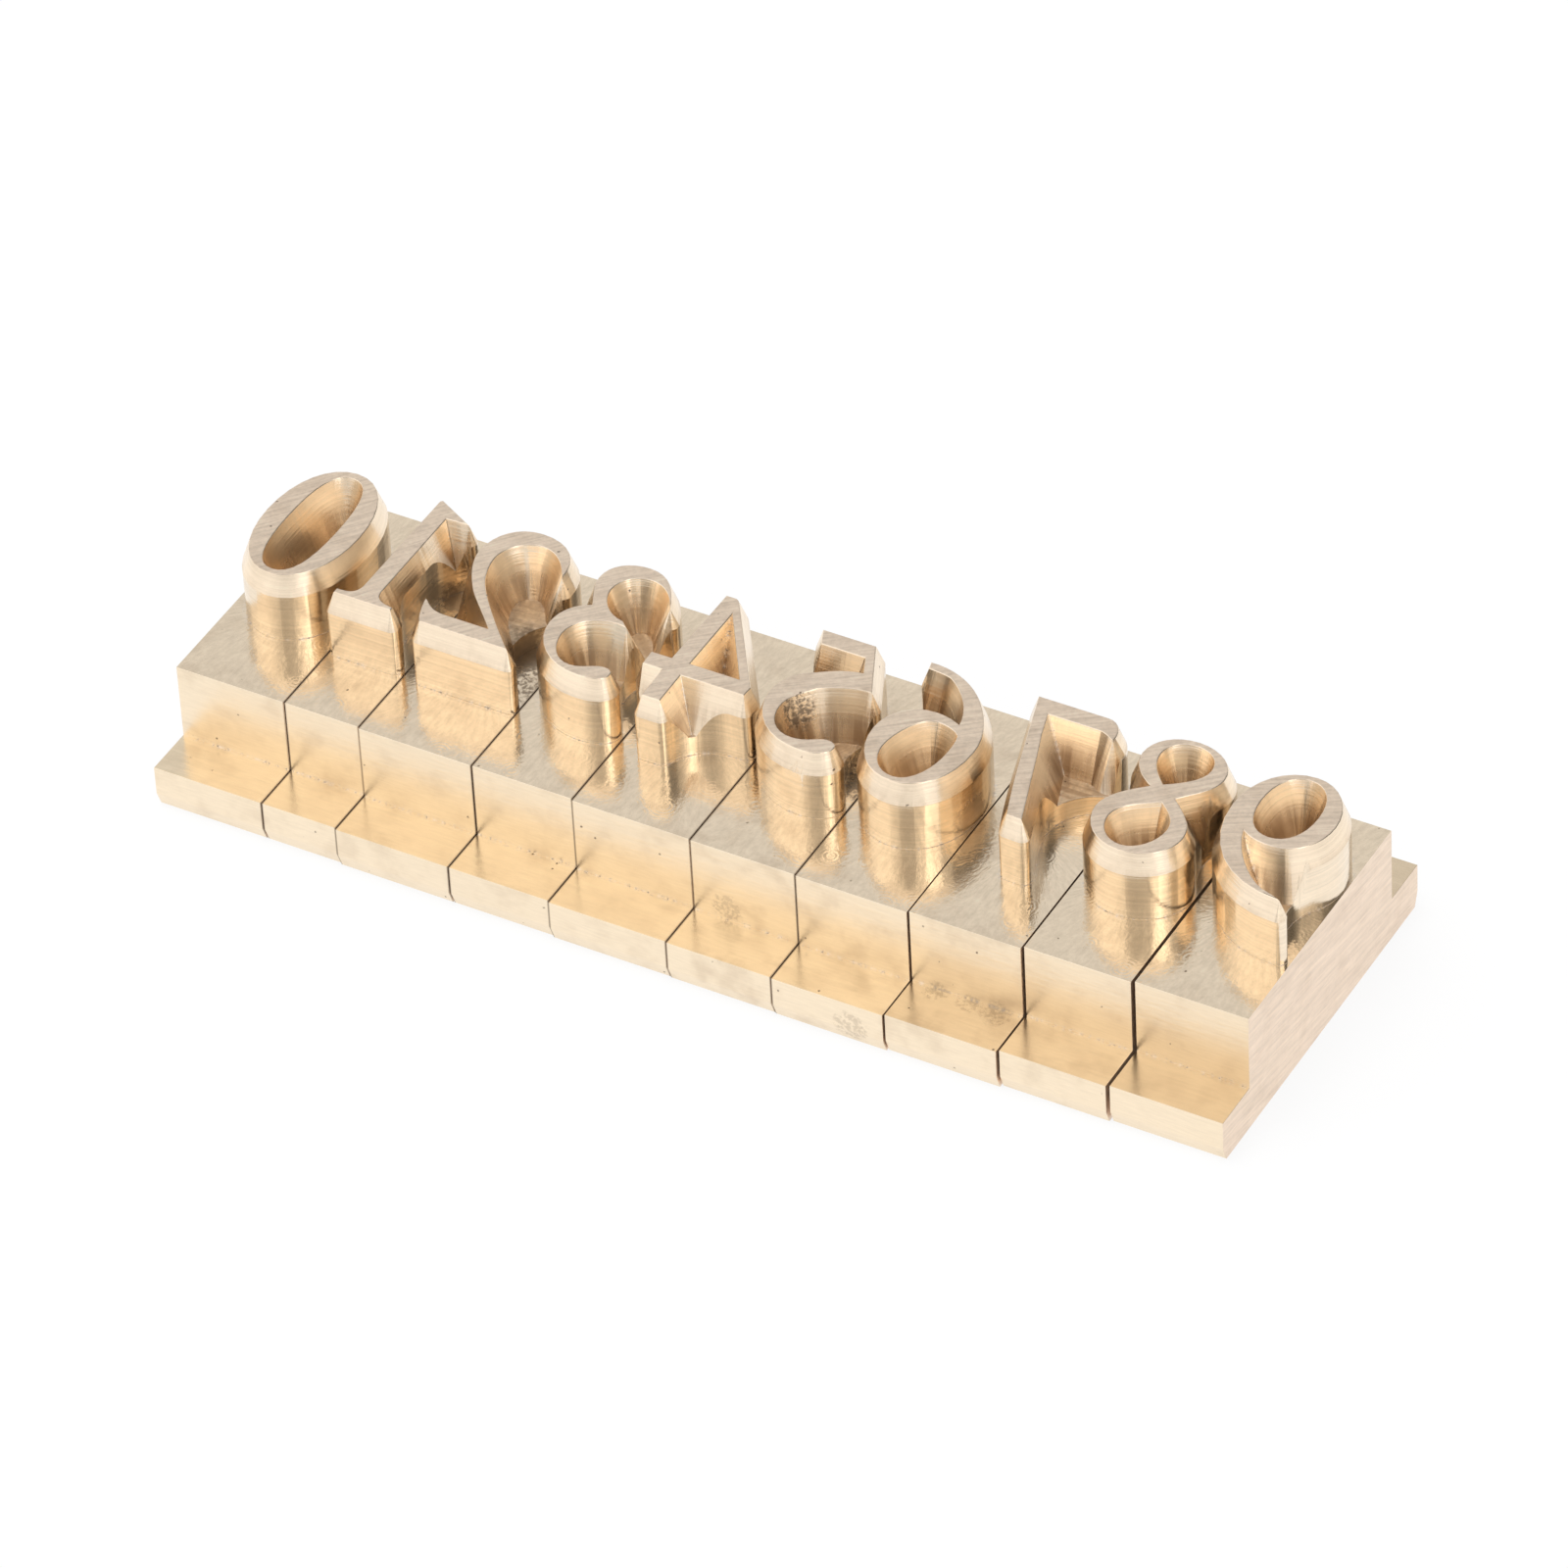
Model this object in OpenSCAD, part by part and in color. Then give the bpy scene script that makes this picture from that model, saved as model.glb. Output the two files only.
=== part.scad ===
// Ten brass number stamps, 0 to 9, standing in a row with their figures up.
// Each stamp is machined from one piece of brass: a foot that slides into a T-slot, a body,
// and a raised figure. The figures are mirror images, so that they print the right way round.
// The row runs along X with the 0 on the left, the foot of every figure points to -Y,
// and the origin is under the middle of the row, where the stamps stand.

/* [Foot] */
// Height of the foot
foot_height = 2.4; // [1.8:0.1:4]
// How far the foot stands out in front of the body
front_lip = 2.7; // [1:0.1:4]
// How far the foot stands out behind the body
back_lip = 2.7; // [1:0.1:4]
// Height of the bevel along the foot's lower edges
bevel_height = 0.8; // [0.2:0.1:1.4]
// Depth of the bevel along the foot's lower edges
bevel_depth = 0.3; // [0.1:0.1:0.9]

/* [Body] */
// Depth of the body, front to back
body_depth = 14.6; // [13.4:0.1:20]
// Height of the body above the foot
body_height = 4.2; // [2:0.1:10]

/* [Row] */
// Gap between neighbouring stamps
gap = 0.06; // [0.02:0.02:0.6]
// Width of the 0 stamp
width_0 = 5.95; // [5.2:0.05:9]
// Width of the 1 stamp
width_1 = 4.05; // [3.2:0.05:9]
// Width of the 2 stamp
width_2 = 6.15; // [5.5:0.05:9]
// Width of the 3 stamp
width_3 = 5.4; // [4.9:0.05:9]
// Width of the 4 stamp
width_4 = 6.3; // [5.7:0.05:9]
// Width of the 5 stamp
width_5 = 5.55; // [4.9:0.05:9]
// Width of the 6 stamp
width_6 = 5.85; // [5.2:0.05:9]
// Width of the 7 stamp
width_7 = 5.8; // [5:0.05:9]
// Width of the 8 stamp
width_8 = 5.5; // [4.9:0.05:9]
// Width of the 9 stamp
width_9 = 5.8; // [5.2:0.05:9]

/* [Figures] */
// Height of the figures, foot to head
figure_height = 8; // [6:0.1:8.4]
// Distance from the front of the body to the foot of the figures
figure_margin = 4.4; // [3.5:0.1:4.8]
// Height of the raised figures above the body
relief = 3.7; // [2.8:0.1:5]
// Depth of the pockets that the tapered cutter leaves, from the face of the figure
pocket_depth = 2.6; // [1.5:0.1:3.5]
// Lean of the walls that the tapered cutter leaves, from upright
draft = 20; // [8:1:30]
// How far the upright walls stand outside the outline of the figure
wall_offset = 0.4; // [0.2:0.05:0.6]
// Radius of the straight cutter, which leaves the upright walls
cutter_radius = 2.5; // [1.5:0.1:3]

/* [Hidden] */
widths = [width_0, width_1, width_2, width_3, width_4, width_5, width_6, width_7, width_8, width_9];
// how far each loose stamp stands behind the line of the row, or before it
set_back = [0.1, 0.1, 0, 0, -0.1, -0.15, -0.2, -0.1, 0.05, 0.15];
// how much wider than the others the gap after each stamp is
extra_gap = [0, 0, 0, 0, 0, 0, 0.02, 0.04, 0.1];
// height that the outlines of the figures are drawn at
drawn_height = 8;
drawn_widths = [5.95, 4.05, 6.15, 5.4, 6.3, 5.55, 5.85, 5.85, 5.55, 5.8];
// straight pieces in each curve of an outline
curve_steps = 8;
// straight sides in a whole turn of the straight cutter, and of the tapered one
cutter_sides = 64;
taper_sides = 20;
// thickness of the flat face on top of the tapered walls
face_skin = 0.02;
// overlap of solids that are joined
sink = 0.5;
// how far the walls of a figure end inside the sides of its stamp
side_step = 0.01;
body_top = foot_height + body_height;
row_length = left_of(len(widths) - 1, 0) + widths[len(widths) - 1];
row_front = -(body_depth + back_lip - front_lip + max(set_back) + min(set_back)) / 2;

// sum of the first n numbers of a list
function sum(list, n) = n == 0 ? 0 : list[n - 1] + sum(list, n - 1);

// left side of stamp n in a row that starts at start
function left_of(n, start) = start + sum(widths, n) + sum(extra_gap, n) + gap * n;

// point on the curve from a to d, steered by b and c
function bend(a, b, c, d, t) =
    pow(1 - t, 3) * a + 3 * pow(1 - t, 2) * t * b + 3 * (1 - t) * t * t * c + pow(t, 3) * d;

// last point of a piece of an outline
function end_of(piece) = is_list(piece[0]) ? piece[2] : piece;

// closed outline: a piece is a point to go straight to, or two steering points and the end of a curve
function outline(pieces) = [
    for (i = [0 : len(pieces) - 1])
        let (piece = pieces[i], start = end_of(pieces[(i + len(pieces) - 1) % len(pieces)]))
            each is_list(piece[0])
                ? [for (k = [1 : curve_steps]) bend(start, piece[0], piece[1], piece[2], k / curve_steps)]
                : [piece]
];

// oval, which is fuller than an ellipse where its curves' steering points reach further than 0.55
module oval(centre, half_width, half_height, reach) {
    translate(centre)
        scale([half_width, half_height])
            polygon(outline([
                [[1, reach], [reach, 1], [0, 1]],
                [[-reach, 1], [-1, reach], [-1, 0]],
                [[-1, -reach], [-reach, -1], [0, -1]],
                [[reach, -1], [1, -reach], [1, 0]]
            ]));
}

// The faces of the figures as they stand on the stamps, seen from above.
// X runs from the left side of the stamp, Y from the foot of the figure.

module face_0() {
    difference() {
        oval([2.88, 4.03], 2.55, 4.15, 0.58);
        oval([2.86, 4], 1.37, 3.78, 0.69);
    }
}

module face_1() {
    polygon(outline([
        [0.4, 0], [3.5, 0], [3.5, 0.2],
        [[2.9, 0.25], [2.45, 0.4], [2.42, 1]],
        [2.42, 7.1], [3.6, 7.15], [1.6, 8.2], [1.5, 8.1], [1.45, 1],
        [[1.4, 0.45], [1.1, 0.28], [0.4, 0.3]]
    ]));
}

module face_2() {
    polygon(outline([
        [1.05, 0], [5.8, 0],
        [[4.7, 1.1], [3.2, 2.6], [2.5, 3.7]],
        [[2.15, 4.2], [1.9, 5], [1.88, 5.7]],
        [[1.88, 6.5], [2.6, 7.38], [3.6, 7.38]],
        [[4.5, 7.35], [5.05, 6.55], [5.5, 5.8]],
        [[5.55, 7.2], [4.6, 8.2], [3.1, 8.2]],
        [[1.8, 8.2], [0.95, 7.2], [0.96, 5.8]],
        [[0.97, 5], [1.5, 4], [2.2, 3.1]],
        [[2.8, 2.4], [3.6, 1.7], [4.3, 0.92]],
        [1.9, 0.92],
        [[1.2, 0.92], [0.9, 1.2], [0.45, 1.65]],
        [[0.6, 1], [0.8, 0.3], [1.05, 0]]
    ]));
}

module face_3() {
    polygon(outline([
        [5, 6.08],
        [[4.6, 6.85], [4, 7.44], [3.3, 7.44]],
        [[2.5, 7.44], [1.82, 6.9], [1.82, 6]],
        [[1.85, 5.2], [2.6, 4.3], [3.5, 4.2]],
        [3.85, 3.88], [3.3, 3.95],
        [[2.2, 3.85], [1.34, 3.2], [1.34, 2.2]],
        [[1.38, 1.2], [2, 0.34], [2.8, 0.34]],
        [[3.5, 0.34], [3.9, 0.9], [4.4, 0.88]],
        [[5, 0.88], [5, 0.3], [4.6, 0.05]],
        [[4.3, -0.12], [3.9, -0.15], [3.5, -0.15]],
        [[1.9, -0.15], [0.4, 1.2], [0.4, 2.7]],
        [[0.4, 3.7], [0.95, 4.35], [1.6, 4.62]],
        [[1.3, 5.3], [0.88, 5.9], [0.88, 6.6]],
        [[0.88, 7.6], [1.7, 8.18], [2.75, 8.18]],
        [[3.9, 8.18], [4.55, 7.2], [5, 6.08]]
    ]));
}

module face_4() {
    difference() {
        polygon(outline([
            [1.5, 0], [2.45, 0], [2.42, 2.05], [5.8, 2.05], [5.83, 2.65], [2.38, 7.8],
            [[2.28, 7.95], [2.15, 8.1], [2, 8.1]],
            [1.52, 8.1], [1.45, 2.95], [0.35, 2.95], [0.4, 2.05], [1.45, 2.05]
        ]));
        polygon([[2.4, 2.95], [5.1, 2.95], [2.42, 7.05]]);
    }
}

module face_5() {
    polygon(outline([
        [0.5, 7.93], [0.9, 7], [3.25, 7], [3.72, 5.95],
        [[3, 5.85], [2.3, 5.5], [1.7, 5.05]],
        [[1, 4.8], [0.38, 3.9], [0.38, 2.9]],
        [[0.4, 1.3], [1.8, -0.2], [3.7, -0.2]],
        [[4.4, -0.2], [4.95, 0.05], [5.05, 0.5]],
        [[5.1, 0.85], [4.85, 0.98], [4.5, 0.98]],
        [[4, 0.95], [3.7, 0.42], [2.9, 0.42]],
        [[1.9, 0.42], [1.32, 1.3], [1.32, 2.2]],
        [[1.32, 3], [1.8, 3.4], [2.3, 4.03]],
        [[3, 4.5], [3.8, 4.8], [4.4, 4.86]],
        [4.75, 4.86], [3.3, 7.93]
    ]));
}

module face_6() {
    difference() {
        polygon(outline([
            [0.58, 8.1], [0.7, 7.66],
            [[1.2, 7.62], [1.7, 7.6], [2, 7.45]],
            [[2.9, 6.9], [3.8, 5.7], [3.9, 4.65]],
            [[3.5, 4.85], [3, 5], [2.5, 5]],
            [[1.3, 5], [0.38, 4.1], [0.38, 2.75]],
            [[0.38, 1.1], [1.5, -0.22], [2.95, -0.22]],
            [[4.3, -0.22], [5.42, 1.1], [5.42, 3.2]],
            [[5.42, 4.6], [4.6, 5.95], [3.66, 6.88]],
            [[2.8, 7.7], [1.7, 8.15], [0.58, 8.1]]
        ]));
        polygon(outline([
            [4.15, 4],
            [[3.8, 4.3], [3.3, 4.42], [2.85, 4.42]],
            [[2.1, 4.42], [1.38, 2.9], [1.38, 1.8]],
            [[1.38, 0.9], [2, 0.08], [2.85, 0.08]],
            [[3.8, 0.08], [4.32, 1.5], [4.32, 2.7]],
            [[4.34, 3.3], [4.27, 3.8], [4.15, 4]]
        ]));
    }
}

module face_7() {
    polygon(outline([
        [0.35, 8.02],
        [[0.65, 7.1], [1.1, 5.5], [1.65, 3.7]],
        [[1.95, 2.7], [2.4, 1.3], [2.95, -0.1]],
        [3.74, -0.14],
        [[3.2, 1.4], [2.3, 4.2], [1.75, 5.6]],
        [1.32, 7.08], [4.05, 7.08],
        [[4.35, 7.05], [4.6, 6.85], [4.9, 6.7]],
        [[5, 7.2], [4.7, 8.02], [4, 8.02]]
    ]));
}

// place under the bar of the 7 that the straight cutter doesn't reach
module nook_7() {
    translate([1.5, 6])
        square([3.4, 1.1]);
}

module face_8() {
    difference() {
        polygon(outline([
            [3.48, 4.1],
            [[4, 4.7], [4.93, 5.4], [4.93, 6.3]],
            [[4.93, 7.3], [3.9, 8.16], [2.7, 8.16]],
            [[1.5, 8.16], [0.64, 7.4], [0.64, 6.4]],
            [[0.64, 5.5], [1.4, 4.85], [2.06, 4.45]],
            [[1.3, 3.8], [0.42, 3.1], [0.42, 2.1]],
            [[0.42, 0.9], [1.5, -0.2], [2.8, -0.2]],
            [[4.1, -0.2], [5.08, 0.7], [5.08, 1.8]],
            [[5.08, 2.8], [4.2, 3.5], [3.48, 4.1]]
        ]));
        polygon(outline([
            [2.53, 4.77],
            [[3.2, 5.2], [4.1, 5.8], [4.1, 6.6]],
            [[4.1, 7.4], [3.5, 7.88], [2.8, 7.88]],
            [[2, 7.88], [1.42, 7.4], [1.42, 6.7]],
            [[1.42, 5.9], [2, 5.3], [2.53, 4.77]]
        ]));
        polygon(outline([
            [3.05, 3.65],
            [[2.4, 3.2], [1.3, 2.7], [1.25, 1.8]],
            [[1.25, 0.9], [1.9, 0.17], [2.7, 0.17]],
            [[3.5, 0.17], [4.16, 1.1], [4.16, 2]],
            [[4.16, 2.8], [3.5, 3.3], [3.05, 3.65]]
        ]));
    }
}

module face_9() {
    difference() {
        polygon(outline([
            [5.22, -0.18],
            [[5.1, -0.1], [4.5, 0.1], [4.22, 0.16]],
            [[3.2, 0.6], [1.9, 2.2], [1.62, 3.48]],
            [[2, 3.15], [2.6, 3], [3.26, 3]],
            [[4.5, 3], [5.34, 4.1], [5.34, 5.44]],
            [[5.34, 6.9], [4.3, 8.2], [3.05, 8.2]],
            [[1.5, 8.2], [0.34, 6.8], [0.34, 4.9]],
            [[0.34, 2.2], [2.3, -0.2], [5.22, -0.18]]
        ]));
        oval([2.87, 5.7], 1.47, 2.2, 0.61);
    }
}

// Raised figure on a body of the given width. The first child is its face.
// The tapered cutter slopes the walls down to the floor of the pockets, and the straight cutter
// clears the rest down to the body wherever it fits between the strokes. It stays clear of all
// the children, so a second child is a place that it leaves to the tapered cutter.
module figure(width) {
    floor_height = relief - pocket_depth;
    intersection() {
        translate([0, 0, -sink])
            linear_extrude(relief + 2 * sink)
                intersection() {
                    translate([side_step, 0])
                        square([width - 2 * side_step, body_depth]);
                    offset(r = -cutter_radius, $fn = cutter_sides)
                        offset(r = cutter_radius + wall_offset, $fn = cutter_sides)
                            children([0 : $children - 1]);
                }
        union() {
            translate([0, 0, -2 * sink])
                linear_extrude(floor_height + 2 * sink)
                    square([width, body_depth]);
            translate([0, 0, floor_height - sink])
                minkowski() {
                    linear_extrude(face_skin) children(0);
                    taper(pocket_depth + sink - face_skin);
                }
        }
    }
}

// Cone with the lean of the tapered cutter, with its point up
module taper(height) {
    cylinder(height, height * tan(draft), 0, $fn = taper_sides);
}

// Foot and body of the given width, with the foot's lower edges bevelled
module t_block(width) {
    front = -front_lip;
    back = body_depth + back_lip;
    translate([width, 0, 0])
        rotate([90, 0, -90])
            mirror([1, 0, 0])
                linear_extrude(width)
                    polygon([
                        [front + bevel_depth, 0], [back - bevel_depth, 0], [back, bevel_height],
                        [back, foot_height], [body_depth, foot_height], [body_depth, body_top],
                        [0, body_top], [0, foot_height], [front, foot_height], [front, bevel_height]
                    ]);
}

// Places a drawing of figure n in the middle of its stamp, at the height that figures have
module on_stamp(n) {
    size = figure_height / drawn_height;
    translate([widths[n] / 2, figure_margin])
        scale([size, size])
            translate([-drawn_widths[n] / 2, 0])
                children();
}

// Stamp n in its place in the row. The children are those of the figure, as drawn.
module stamp(n) {
    color([0.82, 0.70, 0.50])
        translate([left_of(n, -row_length / 2), row_front + set_back[n], 0])
            union() {
                t_block(widths[n]);
                translate([0, 0, body_top])
                    figure(widths[n]) {
                        on_stamp(n) children(0);
                        on_stamp(n) if ($children > 1) children(1);
                    }
            }
}

stamp(0) face_0();  // stamp_0
stamp(1) face_1();  // stamp_1
stamp(2) face_2();  // stamp_2
stamp(3) face_3();  // stamp_3
stamp(4) face_4();  // stamp_4
stamp(5) face_5();  // stamp_5
stamp(6) face_6();  // stamp_6
stamp(7) { face_7(); nook_7(); }  // stamp_7
stamp(8) face_8();  // stamp_8
stamp(9) face_9();  // stamp_9
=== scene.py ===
import math

import bpy
from mathutils import Matrix, Vector


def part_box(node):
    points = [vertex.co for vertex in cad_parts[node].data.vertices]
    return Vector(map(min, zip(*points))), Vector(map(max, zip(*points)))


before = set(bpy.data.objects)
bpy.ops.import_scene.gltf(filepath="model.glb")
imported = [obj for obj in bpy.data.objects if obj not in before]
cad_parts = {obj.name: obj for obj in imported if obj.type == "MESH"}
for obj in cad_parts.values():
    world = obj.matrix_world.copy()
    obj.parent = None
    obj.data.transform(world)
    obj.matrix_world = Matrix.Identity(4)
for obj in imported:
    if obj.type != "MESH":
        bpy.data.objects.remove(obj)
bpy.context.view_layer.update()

MM = 0.001
FIGURES = range(10)
STRAIGHT_FIGURES = (4,)


# ---------------------------------------------------------------- numbers for the meshes, in metres

# Doubled corners this close are merged
WELD_REACH = 0.002 * MM
# Flat faces that turn less than this are joined
FLAT_TURN = math.radians(0.6)
# Edges that were split for the shading are closed again over this distance
REJOIN_REACH = 0.0002 * MM
# Facets narrower than this, where a curve was offset, are joined into their neighbours if those are wide
NARROW_FACET = 0.115 * MM
WIDE_FACET = 0.2 * MM
# A rising edge that turns more than this is a corner of the figure, which keeps its facets
CORNER_TURN = math.radians(26)
# How steeply an edge rises, from 0 for level to 1 for plumb
LEVEL_RISE = 0.3
UPRIGHT_RISE = 0.5
PLUMB_RISE = 0.985
# An edge that runs along X by more than this share is lengthwise
LENGTHWISE = 0.9
# Edges that turn less than this are shaded smooth: upright ones, which follow a curve, and all others
SMOOTH_UPRIGHT = math.radians(42)
SMOOTH_LEVEL = math.radians(15)
# Beside facets that are wider than this, which are truly flat, only smaller turns are shaded smooth
LONG_FACET = {"round": 1.0 * MM, "straight": 0.5 * MM}
SMOOTH_BY_FLAT = math.radians(8)
# How many times the normals of curved walls are evened out
EVEN_ROUNDS = {"round": 3, "straight": 0}
# A facet keeps its own normal where the evened one leans further from it than this
LEAST_AGREEMENT = math.cos(math.radians(26))
# A mean over neighbours above these is taken as any of them, and as more than a hundredth of them
ANY = 0.001
SOME = 0.01
# Edges that turn more than this are broken by this width, or by a share of it for each kind of edge
BROKEN_TURN = math.radians(30)
EDGE_BREAK = 0.05 * MM
RIM_BREAK = 0.8
FRONT_BREAK = 0.6
GROOVE_BREAK = 0.6
SIDE_BREAK = 0.25
# Heights above and below the top of the body where an edge counts as the figure's, or as the body's
FIGURE_CLEAR = 0.5 * MM
BODY_CLEAR = 0.1 * MM
# A point is the figure's if it is no further than this below the top of the body
POINT_CLEAR = 0.01 * MM
# The least area of a level in square millimetres, and how far up its normal points at least
LEAST_LEVEL_AREA = 1.5
STRAIGHT_UP = 0.999


# ---------------------------------------------------------------- numbers for the brass, in millimetres

# Colour and roughness of each surface: the last cut, the brush or the file made them differ, and the
# pocket floor's colour is darker still, as painted shade of the recess
FINISHES = {
    "Slope": ((0.98, 0.815, 0.62), 0.24),
    "Wall": ((0.945, 0.80, 0.62), 0.20),
    "Pocket": ((0.86, 0.69, 0.50), 0.26),
    "Top": ((0.94, 0.79, 0.60), 0.13),
    "Foot top": ((0.985, 0.82, 0.595), 0.22),
    "Front": ((0.975, 0.822, 0.62), 0.32),
    "End": ((0.92, 0.755, 0.605), 0.40),
    "Face": ((0.92, 0.76, 0.60), 0.38),
}
# The same where no surface is told apart
BARE_COLOUR = FINISHES["Wall"][0]
BARE_ROUGHNESS = 0.25
# How deep each kind of mark is on each surface
MARKS = {
    "Slope": {"Lines": 0.55, "Coarse lines": 0.4, "Streaks": 0.8, "Mottle": 0.1},
    "Wall": {"Lines": 0.6, "Coarse lines": 0.7, "Streaks": 0.7, "Mottle": 0.15},
    "Pocket": {"Lines": 0.4, "Coarse lines": 0.6, "Streaks": 0.0, "Mottle": 0.8},
    "Top": {"Lines": 0.34, "Coarse lines": 0.2, "Streaks": 0.0, "Mottle": 0.28},
    "Foot top": {"Lines": 0.4, "Coarse lines": 0.3, "Streaks": 0.0, "Mottle": 0.15},
    "Front": {"Lines": 0.5, "Coarse lines": 0.3, "Streaks": 0.0, "Mottle": 0.12},
    "End": {"Lines": 1.0, "Coarse lines": 0.6, "Streaks": 0.0, "Mottle": 0.2},
    "Face": {"Lines": 1.0, "Coarse lines": 0.6, "Streaks": 0.0, "Mottle": 0.4},
}
# Full depth of a mark in metres, and how deep the cutter's rings on the body are beside it
MARK_DEPTH = 0.02 * MM
SWIRL_DEPTH = 0.06
# Lines to a millimetre along X, Y and Z: few along the way the tool went, many across it
LINES_PER_MM = {
    "Face": (0.4, 6.5, 1.0),
    "Slope": (0.06, 0.06, 6.5),
    "Wall": (0.06, 0.06, 6.0),
    "Pocket": (3.0, 3.0, 3.0),
    "Foot top": (0.6, 6.0, 1.0),
    "Front": (0.9, 1.0, 9.0),
    "End": (1.0, 0.45, 6.0),
}
# On top of the body they are rays round the figure: to a radian, and to a millimetre outwards
RAYS_AROUND = 22.0
RAYS_OUTWARDS = 1.2
# Streaks that run down the walls: to a millimetre sideways, to a radian of turn, and to a millimetre down
STREAKS_SIDEWAYS = 2.2
STREAKS_ROUND = 1.6
STREAKS_DOWN = 0.12
# The lines on the ends lean by this angle, and coarse lines are this much sparser than fine ones
END_LEAN = math.radians(8)
COARSE_SHARE = 0.31
MOTTLE_PER_MM = 5.0
# How far the fine lines lighten and darken each surface, and how much the mottle counts beside them
TONES = {
    "Slope": 0.34,
    "Wall": 0.40,
    "Pocket": 0.7,
    "Top": 0.40,
    "Foot top": 0.2,
    "Front": 0.16,
    "End": 0.42,
    "Face": 0.60,
}
MOTTLE_TONE = 1.5
# The middle level of a noise
MEAN_NOISE = 0.5
# How far up a normal points where a surface starts to count as level or leaning, and where it fully does
LEVEL_FACING = (0.75, 0.9)
LEANING_FACING = (0.14, 0.24)
# The same along X for the ends of a block
END_FACING = (0.6, 0.8)
# The figure starts this far above the top of the body
FIGURE_START = (0.01, 0.03)
# What belongs to the face lies less than this below it, to the foot less than this above its top, and to
# the other levels less than this from them. Each of these bands fades out over a short height.
FACE_DEPTH = 0.6
FOOT_BAND = 0.5
LEVEL_BAND = 0.3
ZONE_FADE = 0.1
# Rings of a small cutter: how far apart their middles are, rings to a millimetre, and how far from their
# middle they have faded out and are full
SWIRL_SPACING = 1.7
SWIRLS_PER_MM = 5.0
SWIRL_FADE = (1.1, 0.3)
# Pits: how far apart, how large, and the largest and smallest as shares of that
PIT_SPACING = 0.7
PIT_SIZE = 0.045
PIT_SIZES = (2.0, 0.4)
# A pit is full within this share of its radius, and is bent out of round by this much, in waves this close
PIT_CORE = 0.3
PIT_BEND = 0.12
PIT_BENDS_PER_MM = 9.0
# Inside corners are told by what lies within this reach, in metres: the painted highlight and its specks
# are absent where the first share of the sky is open, and full where only the second is
CORNER_REACH = 0.27 * MM
CORNER_RAYS = 3
OPEN_SKY = (0.80, 0.50)
# Grain of the corner line and of the patches, and the levels of the grain where each starts to lie and
# where it is full
GRIME_AND_SHADE_GRAIN_PER_MM = 4.5
CORNER_GRAIN = (0.46, 0.66)
PATCH_GRAIN = (0.40, 0.58)
# A speckled patch of grime and a soft patch of painted shade have faded out, and are full, at these shares
# of their size
PATCH_EDGE = (1.0, 0.6)
PAINTED_SHADE_EDGE = (1.05, 0.45)
# Added to the size of a patch, so that it is never nought
LEAST_PATCH = 0.001
# For each kind of patch, specks and smudges of grime and two strengths of painted shade: the mask it takes,
# and how much of the brass it hides
PATCHES = {
    "specks": ("Patch", 0.65),
    "smudge": ("Patch", 0.22),
    "painted_shade": ("Painted shade", 0.62),
    "faint_painted_shade": ("Painted shade", 0.36),
}
# A pale line, a painted highlight, lies along the inside corners, with dark specks in it that are painted
# shade and grime: the grain of the specks, and the levels of the grain where they start and are full
SPECKS_PER_MM = 9.0
SPECK_GRAIN = (0.56, 0.66)
# How much of the brass the painted highlight of the corners, its specks of painted shade and grime, the
# pits and the painted shade of the seams hide
PAINTED_HIGHLIGHT_SHARE = 0.85
SPECK_SHARE = 0.6
PIT_SHARE = 0.8
SEAM_SHARE = 0.6
# Seams narrower than this show as a line of painted shade along the ends of the blocks
WIDEST_MARKED_SEAM = 0.07
# How far from the end of a block that line has faded out, and is full, and the surfaces that show it
SEAM_FADE = (0.075, 0.02)
SEAM_ZONES = ("Front", "Foot top", "Top")
# Ends that carry no such line are moved away by this much
OUT_OF_REACH = 10.0
# The ends are measured on the foot, below this height in metres
FOOT_SLICE = 2.0 * MM
# Soft clouds of tarnish lie all over, and in the counters, from the first to the second depth below the
# face, tarnish lies with painted shade
CLOUDS_PER_MM = 0.55
CLOUD_GRAIN = (0.45, 0.75)
COUNTER_DEPTHS = (0.6, 1.8)
# Counters are darker by this much, as tarnish and painted shade, and by this much more where a streak runs
# down them, as a painted reflection
COUNTER_SHADE = 0.20
COUNTER_STREAKS = 0.45
STREAK_GRAIN = (0.62, 0.40)
TARNISH_AND_SHADE_ZONES = ("Slope", "Pocket", "Foot top")
# What covers the clean brass: tarnish, with painted shade in the counters; grime, with painted shade in the
# corners, soft patches and seams; and a pale painted highlight in the corners
TARNISH_AND_SHADE = (0.42, 0.285, 0.18)
GRIME_AND_SHADE = (0.10, 0.062, 0.040)
PAINTED_HIGHLIGHT = (1.0, 0.93, 0.87)
# How much rougher full grime and full tarnish, with the painted shade that shares their masks, make the
# brass
GRIME_AND_SHADE_ROUGHNESS = 0.3
TARNISH_AND_SHADE_ROUGHNESS = 0.1
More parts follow.
